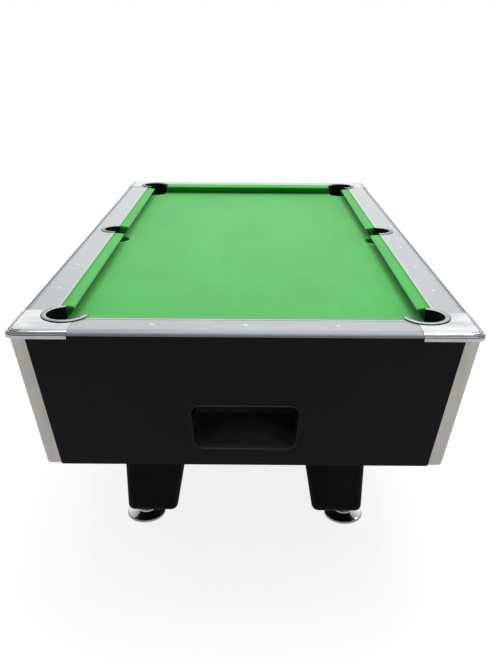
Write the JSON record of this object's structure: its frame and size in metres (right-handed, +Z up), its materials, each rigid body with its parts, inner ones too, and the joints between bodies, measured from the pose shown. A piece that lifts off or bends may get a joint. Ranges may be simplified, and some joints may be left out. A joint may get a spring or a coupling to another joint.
{
  "type": "coin-operated pool table",
  "caption": "Pool table with a tapered black cabinet, grey rails, bright corner castings, green cloth, pockets feeding a gated ball return, levelling feet and a side coin slide with cash door.",
  "frame": {"origin": "on the floor, under the middle of the table", "axes": "+Y along the table's length, away from the end with the ball return; +Z up; +X towards the side with the coin unit"},
  "size_m": [1.25, 2.24, 0.8048],
  "materials": {
    "black_laminate": "satin black laminate",
    "plywood": "bare plywood",
    "rail_laminate": "satin grey laminate",
    "green_cloth": "napped cloth",
    "cloth_cushion": "rubber under green cloth",
    "slate": "ground slate",
    "chrome": "polished",
    "satin_aluminium": "satin anodised",
    "black_rubber": "matte",
    "black_plastic": "moulded",
    "steel": "brushed",
    "brass": "polished"
  },
  "bodies": {
    "cabinet": {"end_panel_front": "black_laminate", "end_panel_rear": "black_laminate", "side_panel_left": "black_laminate", "side_panel_right": "black_laminate", "cabinet_floor": "plywood", "corner_post_front_left": "satin_aluminium", "corner_post_front_right": "satin_aluminium", "corner_post_rear_left": "satin_aluminium", "corner_post_rear_right": "satin_aluminium", "leg_front_left": "black_laminate", "leg_front_right": "black_laminate", "leg_rear_left": "black_laminate", "leg_rear_right": "black_laminate", "slate_bearer_front": "plywood", "slate_bearer_rear": "plywood", "slate_bed": "slate", "bed_cloth": "green_cloth", "rail_front": "rail_laminate", "rail_rear": "rail_laminate", "rail_left": "rail_laminate", "rail_right": "rail_laminate", "corner_casting_front_left": "chrome", "corner_casting_front_right": "chrome", "corner_casting_rear_left": "chrome", "corner_casting_rear_right": "chrome", "cushion_front": "cloth_cushion", "cushion_rear": "cloth_cushion", "cushion_left_front": "cloth_cushion", "cushion_left_rear": "cloth_cushion", "cushion_right_front": "cloth_cushion", "cushion_right_rear": "cloth_cushion", "pocket_liner_front_left": "black_rubber", "pocket_liner_front_right": "black_rubber", "pocket_liner_rear_left": "black_rubber", "pocket_liner_rear_right": "black_rubber", "pocket_liner_left": "black_rubber", "pocket_liner_right": "black_rubber", "gutter_left": "plywood", "gutter_right": "plywood", "rear_pan": "plywood", "storage_lane": "plywood", "trough_bearer_front": "plywood", "trough_bearer_rear": "plywood", "gate_frame": "steel", "return_tray": "black_plastic", "return_bezel": "black_plastic", "coin_unit_body": "steel", "coin_chute": "steel", "cash_box": "steel"},
    "leveller_front_left": {"leveller_front_left": "chrome"},
    "leveller_front_right": {"leveller_front_right": "chrome"},
    "leveller_rear_left": {"leveller_rear_left": "chrome"},
    "leveller_rear_right": {"leveller_rear_right": "chrome"},
    "coin_slide": {"coin_slide": "chrome", "release_bar": "steel"},
    "release_gate": {"release_gate": "steel"},
    "cash_door": {"cash_door": "steel"},
    "cash_lock": {"cash_lock": "brass"}
  },
  "joints": [
    {"name": "level_front_left", "type": "slide", "parent": "cabinet", "child": "leveller_front_left", "axis": [0, 0, -1], "range_m": [0, 0.03]},
    {"name": "level_front_right", "type": "slide", "parent": "cabinet", "child": "leveller_front_right", "axis": [0, 0, -1], "range_m": [0, 0.03]},
    {"name": "level_rear_left", "type": "slide", "parent": "cabinet", "child": "leveller_rear_left", "axis": [0, 0, -1], "range_m": [0, 0.03]},
    {"name": "level_rear_right", "type": "slide", "parent": "cabinet", "child": "leveller_rear_right", "axis": [0, 0, -1], "range_m": [0, 0.03]},
    {"name": "coin_push", "type": "slide", "parent": "cabinet", "child": "coin_slide", "axis": [-0.9928, 0, 0.1199], "range_m": [0, 0.06], "stiffness_N_per_m": 120, "springref_m": -0.02},
    {"name": "gate_lift", "type": "slide", "parent": "cabinet", "child": "release_gate", "axis": [0, 0, 1], "range_m": [0, 0.054]},
    {"name": "cash_door_hinge", "type": "hinge", "parent": "cabinet", "child": "cash_door", "pos_m": [0.58296, -0.923, 0.44908], "axis": [-0.1199, 0, -0.9928], "range_deg": [0, 100]},
    {"name": "cash_lock_turn", "type": "hinge", "parent": "cash_door", "child": "cash_lock", "pos_m": [0.57333, -0.8305, 0.45024], "axis": [-0.9928, 0, 0.1199], "range_deg": [0, 90]}
  ],
  "couplings": [
    {"joint": "gate_lift", "follows": "coin_push", "ratio": 0.89871}
  ]
}
